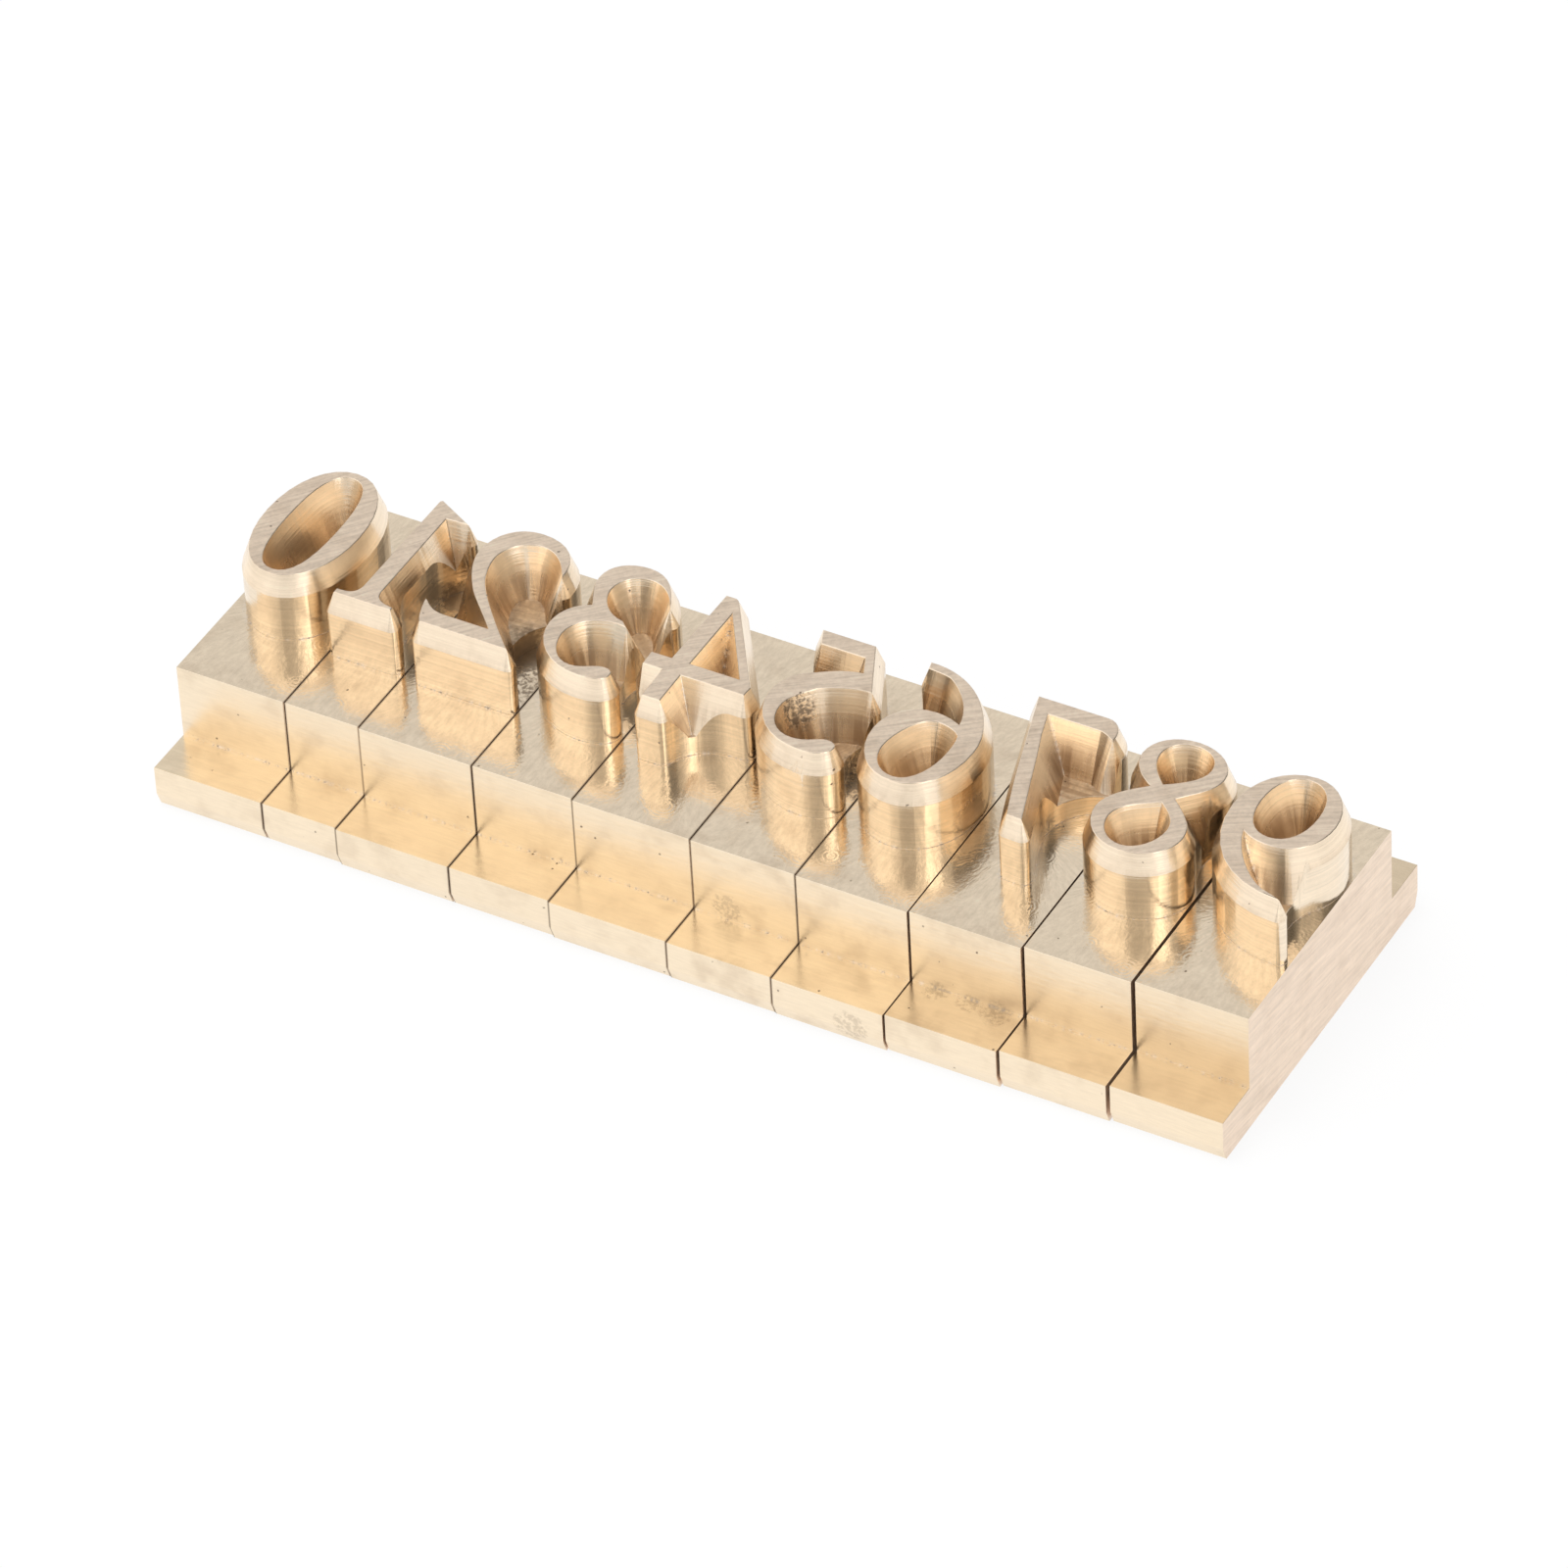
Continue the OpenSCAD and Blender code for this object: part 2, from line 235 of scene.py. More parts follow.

# For each stamp: the turn of the last brush stroke over its face in degrees, its share of pits, how
# tarnished it is as a whole, in its counters, where painted shade joins the tarnish, and on top of its
# foot, and its patches of grime and of painted shade, as offsets from its middle along X and Y, a height, a
# size and a kind
LOOKS = [
    {"brush": -50, "pits": 0.10, "tarnish": 0.16, "counter": 0.5, "foot": 0.0, "patches": [
        (0.7, 2.2, 8.3, 1.0, "painted_shade"),
    ]},
    {"brush": -52, "pits": 0.10, "tarnish": 0.18, "counter": 0.9, "foot": 0.0, "patches": [
        (2.2, 0.8, 7.2, 1.3, "specks"),
        (1.6, 2.8, 6.6, 1.1, "painted_shade"),
    ]},
    {"brush": -48, "pits": 0.12, "tarnish": 0.16, "counter": 0.9, "foot": 0.0, "patches": [
        (2.3, -0.7, 7.0, 2.0, "specks"),
        (1.5, 0.8, 6.9, 1.5, "painted_shade"),
    ]},
    {"brush": -45, "pits": 0.12, "tarnish": 0.15, "counter": 0.9, "foot": 0.0, "patches": [
        (-2.7, 0.5, 6.8, 1.6, "specks"),
    ]},
    {"brush": -40, "pits": 0.12, "tarnish": 0.15, "counter": 1.0, "foot": 0.0, "patches": []},
    {"brush": -35, "pits": 0.14, "tarnish": 0.25, "counter": 1.2, "foot": 0.0, "patches": [
        (-1.0, -7.3, 3.1, 0.9, "smudge"),
        (2.7, 0.0, 6.8, 1.6, "specks"),
        (-1.4, 0.3, 9.4, 1.25, "specks"),
    ]},
    {"brush": -38, "pits": 0.14, "tarnish": 0.22, "counter": 1.1, "foot": 0.0, "patches": [
        (1.2, -10.0, 1.0, 1.0, "smudge"),
        (-2.7, 0.5, 6.6, 1.2, "specks"),
        (2.9, -0.6, 7.2, 1.5, "faint_painted_shade"),
    ]},
    {"brush": -35, "pits": 0.16, "tarnish": 0.20, "counter": 1.2, "foot": 0.16, "patches": [
        (-1.5, -7.5, 2.1, 0.8, "smudge"),
        (0.2, -7.6, 2.0, 0.8, "smudge"),
        (1.7, -7.6, 2.0, 1.0, "smudge"),
    ]},
    {"brush": -42, "pits": 0.10, "tarnish": 0.18, "counter": 1.2, "foot": 0.12, "patches": []},
    {"brush": -30, "pits": 0.10, "tarnish": 0.12, "counter": 1.0, "foot": 0.20, "patches": []},
]


# ---------------------------------------------------------------- numbers for the studio

# Azimuth, and the levels of the studio walls at the horizon and at about 40 degrees above it
WALL_LEVELS = (
    (0, 0.86, 0.56),
    (16, 0.82, 0.50),
    (36, 0.90, 0.70),
    (48, 1.10, 1.15),
    (54, 1.55, 1.95),
    (62, 1.55, 1.95),
    (70, 1.10, 1.15),
    (84, 0.80, 0.60),
    (100, 0.36, 0.24),
    (130, 0.17, 0.12),
    (155, 0.17, 0.14),
    (180, 0.42, 0.50),
    (200, 0.64, 0.74),
    (225, 0.66, 0.72),
    (248, 0.75, 0.62),
    (275, 0.98, 1.02),
    (295, 1.04, 1.15),
    (335, 1.04, 1.15),
    (348, 0.95, 0.80),
    (360, 0.86, 0.56),
)
BRIGHTEST = 2.0
CEILING_LEVEL = 0.5
# How far up a direction points where the horizon gives way to the walls, and the walls to the ceiling
WALL_START = (0.05, 0.60)
CEILING_START = (0.80, 0.97)
# The floor and the lamp over it, in metres
FLOOR_SIZE = 4.0
FLOOR_DROP = 0.01 * MM
FLOOR_PAINT = 0.94
# Share of its white that the floor shows to the camera and in reflections without taking light or shadow
FLOOR_GLOW = 0.85
LAMP_POWER = 1.6
LAMP_SIZE = 0.5
LAMP_PLACE = (-0.05, -0.05, 0.6)
# Azimuth, elevation and roll of the camera in degrees, its place, lens and sensor in millimetres, and the
# nearest and furthest that it sees in metres
CAMERA_TURNS = (31.0, 40.39, -3.24)
CAMERA_PLACE = (188.98, -313.8, 316.1)
LENS = 234.9
SENSOR_WIDTH = 36
NEAREST_SEEN = 0.01
FURTHEST_SEEN = 10


# ---------------------------------------------------------------- nodes

def add(tree, kind, inputs=None, **settings):
    """Adds a node. Inputs are values or the sockets that feed them."""
    node = tree.nodes.new(kind)
    for name, value in settings.items():
        setattr(node, name, value)
    for name, value in (inputs or {}).items():
        feed(tree, node.inputs[name], value)
    return node


def feed(tree, socket, value):
    """Links a socket to the one that feeds it, or sets its value."""
    if isinstance(value, bpy.types.NodeSocket):
        tree.links.new(value, socket)
    elif value is not None:
        socket.default_value = value


def maths(tree, operation, a, b=None, clamp=False):
    node = add(tree, "ShaderNodeMath", operation=operation, use_clamp=clamp)
    for socket, value in zip(node.inputs, (a, b)):
        feed(tree, socket, value)
    return node.outputs[0]


def product(tree, *factors):
    result = factors[0]
    for factor in factors[1:]:
        result = maths(tree, "MULTIPLY", result, factor)
    return result


def total(tree, *terms):
    result = terms[0]
    for term in terms[1:]:
        result = maths(tree, "ADD", result, term)
    return result


def largest(tree, *values):
    result = values[0]
    for value in values[1:]:
        result = maths(tree, "MAXIMUM", result, value)
    return result


def inverse(tree, value):
    return maths(tree, "SUBTRACT", 1.0, value, clamp=True)


def above(tree, value, limit):
    return maths(tree, "GREATER_THAN", value, limit)


def below(tree, value, limit):
    return maths(tree, "LESS_THAN", value, limit)


def step(tree, value, low, high):
    """0 at low and beyond it, 1 at high and beyond it, and a soft change between. Low may be the larger."""
    node = add(tree, "ShaderNodeMapRange", {
        "Value": value, "From Min": low, "From Max": high, "To Min": 0.0, "To Max": 1.0,
    }, interpolation_type="SMOOTHSTEP")
    return node.outputs["Result"]


def near_level(tree, height, level):
    """1 in the band around a level, with a soft rise and fall."""
    low, high = level - LEVEL_BAND, level + LEVEL_BAND
    soft = ZONE_FADE / 2
    rise = step(tree, height, low - soft, low + soft)
    return product(tree, rise, step(tree, height, high + soft, high - soft))


def vector_maths(tree, operation, a, b=None, result="Vector"):
    node = add(tree, "ShaderNodeVectorMath", operation=operation)
    for socket, value in zip(node.inputs, (a, b)):
        feed(tree, socket, value)
    return node.outputs[result]


def measured(tree, operation, a, b=None):
    """The number that a vector operation gives, such as a length or a distance."""
    return vector_maths(tree, operation, a, b, result="Value")


def scaled(tree, vector, factor):
    node = add(tree, "ShaderNodeVectorMath", {0: vector, "Scale": factor}, operation="SCALE")
    return node.outputs[0]


def parts_of(tree, vector):
    """X, Y and Z of a vector."""
    return add(tree, "ShaderNodeSeparateXYZ", {0: vector}).outputs


def stretched(tree, vector, factors, turn=0.0):
    """Coordinates turned about Z and then scaled, each axis by its own factor."""
    turned = add(tree, "ShaderNodeVectorRotate", {"Vector": vector, "Angle": turn}, rotation_type="Z_AXIS")
    return vector_maths(tree, "MULTIPLY", turned.outputs[0], factors)


def noise(tree, vector, scale=1.0, detail=2.0, roughness=0.5):
    node = add(tree, "ShaderNodeTexNoise", {
        "Vector": vector, "Scale": scale, "Detail": detail, "Roughness": roughness,
    })
    return node.outputs[0]


def spots(tree, vector, spacing):
    """Scattered spots at a mean spacing: how far the nearest is, and a chance value of its own."""
    cells = add(tree, "ShaderNodeTexVoronoi", {
        "Vector": vector, "Scale": maths(tree, "DIVIDE", 1.0, spacing), "Randomness": 1.0,
    }, feature="F1")
    luck = add(tree, "ShaderNodeSeparateColor", {0: cells.outputs["Color"]}).outputs[0]
    return product(tree, cells.outputs["Distance"], spacing), luck


def blend_values(tree, share, low, high):
    node = add(tree, "ShaderNodeMix", data_type="FLOAT")
    for index, value in ((0, share), (2, low), (3, high)):
        feed(tree, node.inputs[index], value)
    return node.outputs[0]


def blend_vectors(tree, share, low, high):
    node = add(tree, "ShaderNodeMix", data_type="VECTOR")
    for index, value in ((0, share), (4, low), (5, high)):
        feed(tree, node.inputs[index], value)
    return node.outputs[1]


def blend_colours(tree, share, low, high):
    node = add(tree, "ShaderNodeMix", data_type="RGBA")
    for index, value in ((0, share), (6, low), (7, high)):
        if isinstance(value, tuple):
            value = (*value, 1.0)
        feed(tree, node.inputs[index], value)
    return node.outputs[2]


def pick(tree, blend, masks, choices, otherwise):
    """The choice of whichever mask is on, joined by one of the three blends."""
    result = otherwise
    for name, choice in choices.items():
        result = blend(tree, masks[name], result, choice)
    return result


def new_group(name, inputs, outputs):
    """Shader group with named sockets. Returns the tree, its inputs and its output node."""
    tree = bpy.data.node_groups.new(name, "ShaderNodeTree")
    kinds = {"value": "NodeSocketFloat", "vector": "NodeSocketVector", "colour": "NodeSocketColor"}
    for socket, (kind, default) in inputs.items():
        made = tree.interface.new_socket(socket, in_out="INPUT", socket_type=kinds[kind])
        made.default_value = default
    for socket, kind in outputs.items():
        tree.interface.new_socket(socket, in_out="OUTPUT", socket_type=kinds[kind])
    source = tree.nodes.new("NodeGroupInput")
    return tree, source.outputs, tree.nodes.new("NodeGroupOutput")


def put_out(tree, out, values):
    """Feeds the outputs of a group by name."""
    for name, value in values.items():
        feed(tree, out.inputs[name], value)
    return tree


def use_group(tree, group, inputs):
    """Places a group in a tree with its own inputs. Returns its outputs."""
    return add(tree, "ShaderNodeGroup", inputs, node_tree=group).outputs


def chosen(masks, *names):
    """Some of the masks, by name."""
    return {name: masks[name] for name in names}


# Inputs that several groups share: where a point is, which way it faces, and the masks of the surfaces
PLACE = {"Place": ("vector", (0, 0, 0))}
FACING = {"Facing": ("vector", (0, 0, 1))}
ZONES = {name: ("value", 0.0) for name in FINISHES}


# ---------------------------------------------------------------- shared effects, in millimetres

def make_zones_group(levels):
    """Tells the surfaces of a stamp apart by their height and by the way they face."""
    tree, given, out = new_group("stamp_zones", {**PLACE, **FACING}, {name: "value" for name in FINISHES})
    foot, body, pocket, face = levels
    height = parts_of(tree, given["Place"])["Z"]
    facing = parts_of(tree, given["Facing"])
    up = step(tree, facing["Z"], *LEVEL_FACING)
    aside = inverse(tree, up)
    on_figure = step(tree, height, *(body + start for start in FIGURE_START))
    leaning = step(tree, facing["Z"], *LEANING_FACING)
    at_end = step(tree, maths(tree, "ABSOLUTE", facing["X"]), *END_FACING)
    on_block = product(tree, aside, inverse(tree, on_figure))
    on_face = step(tree, height, face - FACE_DEPTH, face - FACE_DEPTH + ZONE_FADE)
    on_foot = step(tree, height, foot + FOOT_BAND, foot + FOOT_BAND - ZONE_FADE)
    return put_out(tree, out, {
        "Face": product(tree, up, on_face),
        "Slope": product(tree, aside, on_figure, leaning),
        "Wall": product(tree, aside, on_figure, inverse(tree, leaning)),
        "Pocket": product(tree, up, near_level(tree, height, pocket)),
        "Top": product(tree, up, near_level(tree, height, body)),
        "Foot top": product(tree, up, on_foot),
        "Front": product(tree, on_block, inverse(tree, at_end)),
        "End": product(tree, on_block, at_end),
    })


def line_paths(tree, given, across):
    """For each surface, coordinates in which its lines are one unit apart."""
    place = given["Place"]
    reach = maths(tree, "SQRT", total(tree, product(tree, across["X"], across["X"]),
                                      product(tree, across["Y"], across["Y"])))
    around = maths(tree, "ARCTAN2", across["Y"], across["X"])
    rays = add(tree, "ShaderNodeCombineXYZ", {
        "X": product(tree, around, RAYS_AROUND),
        "Y": product(tree, reach, RAYS_OUTWARDS),
    })
    leant = add(tree, "ShaderNodeVectorRotate", {"Vector": place, "Angle": END_LEAN},
                rotation_type="X_AXIS")
    return {
        "Face": stretched(tree, place, LINES_PER_MM["Face"], given["Brush turn"]),
        "Slope": stretched(tree, place, LINES_PER_MM["Slope"]),
        "Wall": stretched(tree, place, LINES_PER_MM["Wall"]),
        "Pocket": stretched(tree, place, LINES_PER_MM["Pocket"]),
        "Top": rays.outputs[0],
        "Foot top": stretched(tree, place, LINES_PER_MM["Foot top"]),
        "Front": stretched(tree, place, LINES_PER_MM["Front"]),
        "End": stretched(tree, leant.outputs[0], LINES_PER_MM["End"]),
    }


def streak_path(tree, given, across):
    """Coordinates in which streaks run down the walls, whichever way these face."""
    faced = parts_of(tree, given["Facing"])
    bearing = maths(tree, "ARCTAN2", faced["Y"], faced["X"])
    sideways = maths(tree, "SUBTRACT", product(tree, across["Y"], maths(tree, "COSINE", bearing)),
                     product(tree, across["X"], maths(tree, "SINE", bearing)))
    path = add(tree, "ShaderNodeCombineXYZ", {
        "X": product(tree, sideways, STREAKS_SIDEWAYS),
        "Y": product(tree, bearing, STREAKS_ROUND),
        "Z": product(tree, across["Z"], STREAKS_DOWN),
    })
    return path.outputs[0]


def make_marks_group():
    """Marks that the tools left, each surface along its own path: how light they are, and how high."""
    tree, given, out = new_group("tool_marks", {
        **PLACE,
        "Middle": ("vector", (0, 0, 0)),
        **FACING,
        "Brush turn": ("value", 0.0),
        **ZONES,
    }, {"Tone": "value", "Height": "value", "Streaks": "value"})
    across = parts_of(tree, vector_maths(tree, "SUBTRACT", given["Place"], given["Middle"]))
    path = pick(tree, blend_vectors, given, line_paths(tree, given, across), (0.0, 0.0, 0.0))
    heights = {
        "Lines": noise(tree, path, roughness=0.6),
        "Coarse lines": noise(tree, scaled(tree, path, COARSE_SHARE), detail=1.0),
        "Streaks": noise(tree, streak_path(tree, given, across), roughness=0.6),
        "Mottle": noise(tree, given["Place"], scale=MOTTLE_PER_MM, roughness=0.6),
    }
    depths = {}
    for kind in heights:
        depths[kind] = pick(tree, blend_values, given, {name: MARKS[name][kind] for name in MARKS}, 0.0)
    lines, mottle = (maths(tree, "SUBTRACT", heights[kind], MEAN_NOISE) for kind in ("Lines", "Mottle"))
    light = total(tree, lines, product(tree, mottle, depths["Mottle"], MOTTLE_TONE))
    contrast = pick(tree, blend_values, given, TONES, 0.0)
    return put_out(tree, out, {
        "Tone": total(tree, 1.0, product(tree, light, contrast)),
        "Height": total(tree, *(product(tree, heights[kind], depths[kind]) for kind in heights)),
        "Streaks": heights["Streaks"],
    })


def make_swirls_group():
    """Rings that a small cutter leaves wherever it dwells."""
    tree, given, out = new_group("cutter_swirls", {
        **PLACE,
        "Spacing": ("value", SWIRL_SPACING),
        "Rings per mm": ("value", SWIRLS_PER_MM),
    }, {"Height": "value"})
    reach, _ = spots(tree, given["Place"], given["Spacing"])
    rings = maths(tree, "SINE", product(tree, reach, given["Rings per mm"], math.tau))
    return put_out(tree, out, {"Height": product(tree, rings, step(tree, reach, *SWIRL_FADE))})


def make_pits_group():
    """Small dark pits and specks, scattered unevenly."""
    tree, given, out = new_group("pits", {
        **PLACE,
        "Spacing": ("value", PIT_SPACING),
        "Size": ("value", PIT_SIZE),
        "Share": ("value", 0.0),
    }, {"Mask": "value"})
    bent = product(tree, noise(tree, given["Place"], scale=PIT_BENDS_PER_MM, detail=1.0), PIT_BEND)
    reach, luck = spots(tree, vector_maths(tree, "ADD", given["Place"], bent), given["Spacing"])
    radius = product(tree, given["Size"], blend_values(tree, luck, *PIT_SIZES))
    dot = step(tree, reach, radius, product(tree, radius, PIT_CORE))
    return put_out(tree, out, {"Mask": product(tree, dot, below(tree, luck, given["Share"]))})


def grime_and_shade_grain(tree, place):
    """The grain that the corner line and the patches share."""
    return noise(tree, place, scale=GRIME_AND_SHADE_GRAIN_PER_MM, detail=3.0, roughness=0.65)


def make_corner_group():
    """The inside corners, told by occlusion and broken by a grain: where the pale painted highlight lies,
    with specks of painted shade and grime.
    """
    tree, given, out = new_group("corner_highlight_shade_and_grime", {
        **PLACE,
        "Reach": ("value", CORNER_REACH),
    }, {"Mask": "value"})
    open_sky = add(tree, "ShaderNodeAmbientOcclusion", {"Distance": given["Reach"]},
                   samples=CORNER_RAYS, only_local=True)
    corner = step(tree, open_sky.outputs["AO"], *OPEN_SKY)
    grain = step(tree, grime_and_shade_grain(tree, given["Place"]), *CORNER_GRAIN)
    return put_out(tree, out, {"Mask": product(tree, corner, grain)})


def make_patch_group():
    """One place: a speckled patch of grime, and a soft patch of painted shade with a ragged edge."""
    tree, given, out = new_group("grime_and_shade_patch", {
        **PLACE,
        "Centre": ("vector", (0, 0, 0)),
        "Size": ("value", 1.0),
    }, {"Patch": "value", "Painted shade": "value"})
    rough = grime_and_shade_grain(tree, given["Place"])
    away = measured(tree, "DISTANCE", given["Place"], given["Centre"])
    near = maths(tree, "DIVIDE", away, total(tree, given["Size"], LEAST_PATCH))
    edge = total(tree, near, maths(tree, "SUBTRACT", MEAN_NOISE, rough))
    return put_out(tree, out, {
        "Patch": product(tree, step(tree, edge, *PATCH_EDGE), step(tree, rough, *PATCH_GRAIN)),
        "Painted shade": step(tree, edge, *PAINTED_SHADE_EDGE),
    })


def make_seam_group():
    """Painted shade that lies along the two ends of a block, where it meets its neighbours."""
    tree, given, out = new_group("painted_seam_shade", {
        **PLACE,
        "Low end": ("value", 0.0),
        "High end": ("value", 0.0),
        **chosen(ZONES, *SEAM_ZONES),
    }, {"Mask": "value"})
    along = parts_of(tree, given["Place"])["X"]
    from_low = maths(tree, "SUBTRACT", along, given["Low end"])
    from_high = maths(tree, "SUBTRACT", given["High end"], along)
    line = step(tree, maths(tree, "MINIMUM", from_low, from_high), *SEAM_FADE)
    outside = total(tree, *chosen(given, *SEAM_ZONES).values())
    return put_out(tree, out, {"Mask": product(tree, line, outside)})


def make_tarnish_and_shade_group(face_top):
    """How tarnished the brass is, in soft clouds and on top of the foot, and the painted shade and painted
    streaks of reflection that darken the counters with it.
    """
    tree, given, out = new_group("tarnish", {
        **PLACE,
        "Streaks": ("value", 0.0),
        "Clouds": ("value", 0.0),
        "Counters": ("value", 0.0),
        "Foot": ("value", 0.0),
        **chosen(ZONES, *TARNISH_AND_SHADE_ZONES),
    }, {"Share": "value"})
    cloud = noise(tree, given["Place"], scale=CLOUDS_PER_MM, detail=3.0, roughness=0.6)
    clouds = product(tree, step(tree, cloud, *CLOUD_GRAIN), given["Clouds"])
    height = parts_of(tree, given["Place"])["Z"]
    deep = step(tree, height, *(face_top - depth for depth in COUNTER_DEPTHS))
    counter = product(tree, maths(tree, "ADD", given["Slope"], given["Pocket"], clamp=True), deep)
    # Painted shade in the counters, with painted reflections as darker streaks down them
    streak = step(tree, given["Streaks"], *STREAK_GRAIN)
    shade = total(tree, COUNTER_SHADE, product(tree, streak, COUNTER_STREAKS))
    return put_out(tree, out, {
        "Share": total(tree, clouds, product(tree, counter, shade, given["Counters"]),
                       product(tree, given["Foot top"], given["Foot"])),
    })


def make_grime_shade_and_highlight_group():
    """Pale painted highlight in the corners, and the dark of corners, patches, pits and seams together:
    grime and painted shade.
    """
    tree, given, out = new_group("corner_highlight_grime_and_shade", {
        **PLACE,
        "Corners": ("value", 0.0),
        "Patches": ("value", 0.0),
        "Pits": ("value", 0.0),
        "Seams": ("value", 0.0),
        **chosen(ZONES, "Face"),
    }, {"Painted highlight": "value", "Grime and shade": "value"})
    grain = step(tree, noise(tree, given["Place"], scale=SPECKS_PER_MM), *SPECK_GRAIN)
    return put_out(tree, out, {
        # A pale painted highlight along the inside corners
        "Painted highlight": product(tree, given["Corners"], PAINTED_HIGHLIGHT_SHARE),
        "Grime and shade": largest(tree,
                        product(tree, given["Corners"], product(tree, grain, SPECK_SHARE)),
                        product(tree, given["Patches"], inverse(tree, given["Face"])),
                        product(tree, given["Pits"], PIT_SHARE),
                        product(tree, given["Seams"], SEAM_SHARE)),
    })


def make_finish_group():
    """Colour and roughness of the brass on each surface, under its tarnish, its grime, and the shade and
    highlight painted on it.
    """
    tree, given, out = new_group("brass_finish", {
        "Tone": ("value", 1.0),
        "Tarnished and shaded": ("value", 0.0),
        "Painted highlight": ("value", 0.0),
        "Grime and shade": ("value", 0.0),
        **ZONES,
    }, {"Colour": "colour", "Roughness": "value"})
    colours = {name: colour for name, (colour, roughness) in FINISHES.items()}
    colour = scaled(tree, pick(tree, blend_colours, given, colours, BARE_COLOUR), given["Tone"])
    for layer, paint in (("Tarnished and shaded", TARNISH_AND_SHADE), ("Painted highlight", PAINTED_HIGHLIGHT), ("Grime and shade", GRIME_AND_SHADE)):
        colour = blend_colours(tree, given[layer], colour, paint)
    roughnesses = {name: roughness for name, (colour, roughness) in FINISHES.items()}
    roughness = pick(tree, blend_values, given, roughnesses, BARE_ROUGHNESS)
    return put_out(tree, out, {
        "Colour": colour,
        "Roughness": total(tree, roughness, product(tree, given["Grime and shade"], GRIME_AND_SHADE_ROUGHNESS),
                           product(tree, given["Tarnished and shaded"], TARNISH_AND_SHADE_ROUGHNESS)),
    })


# ---------------------------------------------------------------- meshes

def geometry_group(name):
    """Geometry group that takes and gives a mesh. Returns the tree, its inputs and its output node."""
    tree = bpy.data.node_groups.new(name, "GeometryNodeTree")
    for in_out in ("INPUT", "OUTPUT"):
        tree.interface.new_socket("Geometry", in_out=in_out, socket_type="NodeSocketGeometry")
    source = tree.nodes.new("NodeGroupInput")
    return tree, source.outputs, tree.nodes.new("NodeGroupOutput")


def edge_ends(group):
    """Where each edge starts, and the way from there to its other end."""
    ends = add(group, "GeometryNodeInputMeshEdgeVertices").outputs
    return ends["Position 1"], vector_maths(group, "SUBTRACT", ends["Position 2"], ends["Position 1"])


def edge_course(group, run):
    """How far the course of each edge runs along X and along Z, from 0 to 1."""
    parts = parts_of(group, vector_maths(group, "NORMALIZE", run))
    return maths(group, "ABSOLUTE", parts["X"]), maths(group, "ABSOLUTE", parts["Z"])


def on_domain(group, domain, value, kind="FLOAT"):
    """The mean of a value over what each point, edge, face or corner touches."""
    node = add(group, "GeometryNodeFieldOnDomain", {"Value": value}, data_type=kind, domain=domain)
    return node.outputs[0]


def make_joining_group(body_top):
    """Geometry group that joins the narrow facets of a figure into their wider neighbours."""
    group, given, out = geometry_group("narrow_facets_joined")
    place = add(group, "GeometryNodeInputPosition").outputs["Position"]
    turn = add(group, "GeometryNodeInputMeshEdgeAngle").outputs["Unsigned Angle"]
    _, run = edge_ends(group)
    _, rise = edge_course(group, run)
    corner = product(group, above(group, rise, LEVEL_RISE), above(group, turn, CORNER_TURN))
    corner = above(group, on_domain(group, "EDGE", corner), ANY)
    wide = product(group, below(group, rise, LEVEL_RISE),
                   above(group, measured(group, "LENGTH", run), WIDE_FACET))
    by_wide = above(group, on_domain(group, "EDGE", wide), ANY)
    on_figure = above(group, parts_of(group, place)["Z"], body_top - POINT_CLEAR)
    joined = add(group, "GeometryNodeMergeByDistance", {
        "Geometry": given["Geometry"],
        "Selection": product(group, on_figure, by_wide, inverse(group, corner)),
        "Distance": NARROW_FACET,
    }, mode="CONNECTED")
    return put_out(group, out, {"Geometry": joined.outputs[0]})


def make_edge_group(name, body_top, sharp_pits):
    """Geometry group that says how much of each edge the edge break takes off."""
    group, given, out = geometry_group(name)
    angles = add(group, "GeometryNodeInputMeshEdgeAngle").outputs
    start, run = edge_ends(group)
    along, rise = edge_course(group, run)
    where = parts_of(group, start)
    hollow = below(group, angles["Signed Angle"], 0.0)
    ridge = inverse(group, hollow)
    on_figure = above(group, where["Z"], body_top + FIGURE_CLEAR)
    on_block = inverse(group, above(group, where["Z"], body_top - BODY_CLEAR))

    sloping = product(group, above(group, rise, LEVEL_RISE), below(group, rise, PLUMB_RISE))
    groove = product(group, hollow, on_figure, sloping)
    if sharp_pits:
        groove = product(group, groove, below(group, where["Y"], 0.0))
    rim = product(group, on_figure, ridge, inverse(group, above(group, rise, UPRIGHT_RISE)))
    front = product(group, ridge, inverse(group, on_figure), above(group, along, LENGTHWISE))
    weight = largest(group,
                     product(group, groove, GROOVE_BREAK),
                     product(group, rim, RIM_BREAK),
                     product(group, ridge, on_block, SIDE_BREAK),
                     product(group, front, FRONT_BREAK))
    weight = product(group, weight, above(group, angles["Unsigned Angle"], BROKEN_TURN))
    store = add(group, "GeometryNodeStoreNamedAttribute", {
        "Geometry": given["Geometry"], "Name": "bevel_weight_edge", "Value": weight,
    }, data_type="FLOAT", domain="EDGE")
    return put_out(group, out, {"Geometry": store.outputs["Geometry"]})


def even_normals(group, long_edge, rounds):
    """Normals of the points, evened out over curved walls but not across the long edges of flat ones."""
    by_area = scaled(group, add(group, "GeometryNodeInputNormal").outputs["Normal"],
                     add(group, "GeometryNodeInputMeshFaceArea").outputs["Area"])
    even = add(group, "GeometryNodeBlurAttribute", {
        "Value": on_domain(group, "FACE", by_area, "FLOAT_VECTOR"),
        "Iterations": rounds,
        "Weight": below(group, long_edge, ANY),
    }, data_type="FLOAT_VECTOR")
    even = on_domain(group, "POINT", even.outputs["Value"], "FLOAT_VECTOR")
    return vector_maths(group, "NORMALIZE", even)


